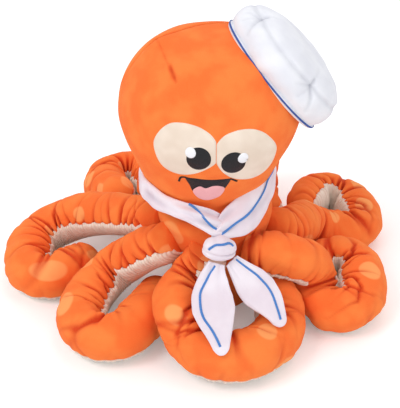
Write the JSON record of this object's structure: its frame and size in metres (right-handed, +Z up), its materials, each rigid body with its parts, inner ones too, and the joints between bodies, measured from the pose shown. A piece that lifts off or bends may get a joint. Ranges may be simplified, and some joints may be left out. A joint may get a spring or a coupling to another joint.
{
  "type": "plush toy",
  "caption": "Sitting orange plush octopus with curled arms that lift at their seams, a white sailor hat tilted on its round head and a knotted white scarf with blue edging.",
  "frame": {"origin": "centre of the torso's flat underside, where the toy stands on its surface", "axes": "+Z up, -Y towards the toy's front, +X towards the viewer's right as the face is looked at"},
  "size_m": [0.3806, 0.4089, 0.2927],
  "materials": {
    "orange_plush": "short-pile plush",
    "cream_ribbed": "ribbed plush",
    "white_plush": "short-pile plush",
    "blue_thread": "satin stitch",
    "cream_patch": "short-pile plush",
    "black_thread": "satin stitch",
    "pink_thread": "satin stitch",
    "white_thread": "satin stitch",
    "fibre_filling": "loose fibre"
  },
  "bodies": {
    "body": {"torso": "orange_plush", "head_front": "orange_plush", "head_back": "orange_plush", "head_filling": "fibre_filling", "eye_patch_left": "cream_patch", "eye_patch_right": "cream_patch", "pupil_left": "black_thread", "pupil_right": "black_thread", "glint_left": "white_thread", "glint_right": "white_thread", "mouth": "black_thread", "tongue": "pink_thread", "hat_crown": "white_plush", "hat_band": "white_plush", "hat_stripe": "blue_thread", "scarf_band": "white_plush", "scarf_band_stripe": "blue_thread", "scarf_knot": "white_plush"},
    "limb_left": {"arm_left": "orange_plush", "underside_left": "cream_ribbed"},
    "limb_front_left": {"arm_front_left": "orange_plush", "underside_front_left": "cream_ribbed"},
    "limb_front": {"arm_front": "orange_plush", "underside_front": "cream_ribbed"},
    "limb_front_right": {"arm_front_right": "orange_plush", "underside_front_right": "cream_ribbed"},
    "limb_right": {"arm_right": "orange_plush", "underside_right": "cream_ribbed"},
    "limb_back_right": {"arm_back_right": "orange_plush", "underside_back_right": "cream_ribbed"},
    "limb_back": {"arm_back": "orange_plush", "underside_back": "cream_ribbed"},
    "limb_back_left": {"arm_back_left": "orange_plush", "underside_back_left": "cream_ribbed"},
    "tail_left": {"scarf_tail_left": "white_plush", "scarf_tail_left_stripe": "blue_thread"},
    "tail_right": {"scarf_tail_right": "white_plush", "scarf_tail_right_stripe": "blue_thread"}
  },
  "joints": [
    {"name": "arm_left_lift", "type": "hinge", "parent": "body", "child": "limb_left", "pos_m": [-0.0594, 0.00836, 0.08008], "axis": [0.139, 0.9903, 0], "range_deg": [0, 30]},
    {"name": "arm_front_left_lift", "type": "hinge", "parent": "body", "child": "limb_front_left", "pos_m": [-0.04796, -0.03608, 0.08008], "axis": [-0.6018, 0.7987, 0], "range_deg": [0, 30]},
    {"name": "arm_front_lift", "type": "hinge", "parent": "body", "child": "limb_front", "pos_m": [-0.00836, -0.0594, 0.08008], "axis": [-0.9903, 0.139, 0], "range_deg": [0, 24]},
    {"name": "arm_front_right_lift", "type": "hinge", "parent": "body", "child": "limb_front_right", "pos_m": [0.03608, -0.04796, 0.08008], "axis": [-0.4297, -0.7995, -0.4197], "range_deg": [0, 22]},
    {"name": "arm_right_lift", "type": "hinge", "parent": "body", "child": "limb_right", "pos_m": [0.0594, -0.00836, 0.08008], "axis": [0.2701, -0.9503, -0.155], "range_deg": [0, 30]},
    {"name": "arm_back_right_lift", "type": "hinge", "parent": "body", "child": "limb_back_right", "pos_m": [0.04796, 0.03608, 0.08008], "axis": [0.9171, -0.319, -0.2392], "range_deg": [0, 30]},
    {"name": "arm_back_lift", "type": "hinge", "parent": "body", "child": "limb_back", "pos_m": [0.00836, 0.0594, 0.08008], "axis": [0.9844, -0.005, 0.1761], "range_deg": [0, 30]},
    {"name": "arm_back_left_lift", "type": "hinge", "parent": "body", "child": "limb_back_left", "pos_m": [-0.03608, 0.04796, 0.08008], "axis": [0.7917, 0.6028, 0.099], "range_deg": [0, 30]},
    {"name": "tail_left_lift", "type": "hinge", "parent": "body", "child": "tail_left", "pos_m": [0.00044, -0.08624, 0.09416], "axis": [-0.9988, 0.0499, 0], "range_deg": [0, 40]},
    {"name": "tail_right_lift", "type": "hinge", "parent": "body", "child": "tail_right", "pos_m": [0.01364, -0.0836, 0.09504], "axis": [-0.8996, -0.4198, -0.12], "range_deg": [0, 40]}
  ],
  "couplings": [
    {"joint": "tail_left_lift", "follows": "arm_front_lift", "ratio": 1.45},
    {"joint": "tail_right_lift", "follows": "arm_front_lift", "ratio": 1.45}
  ]
}
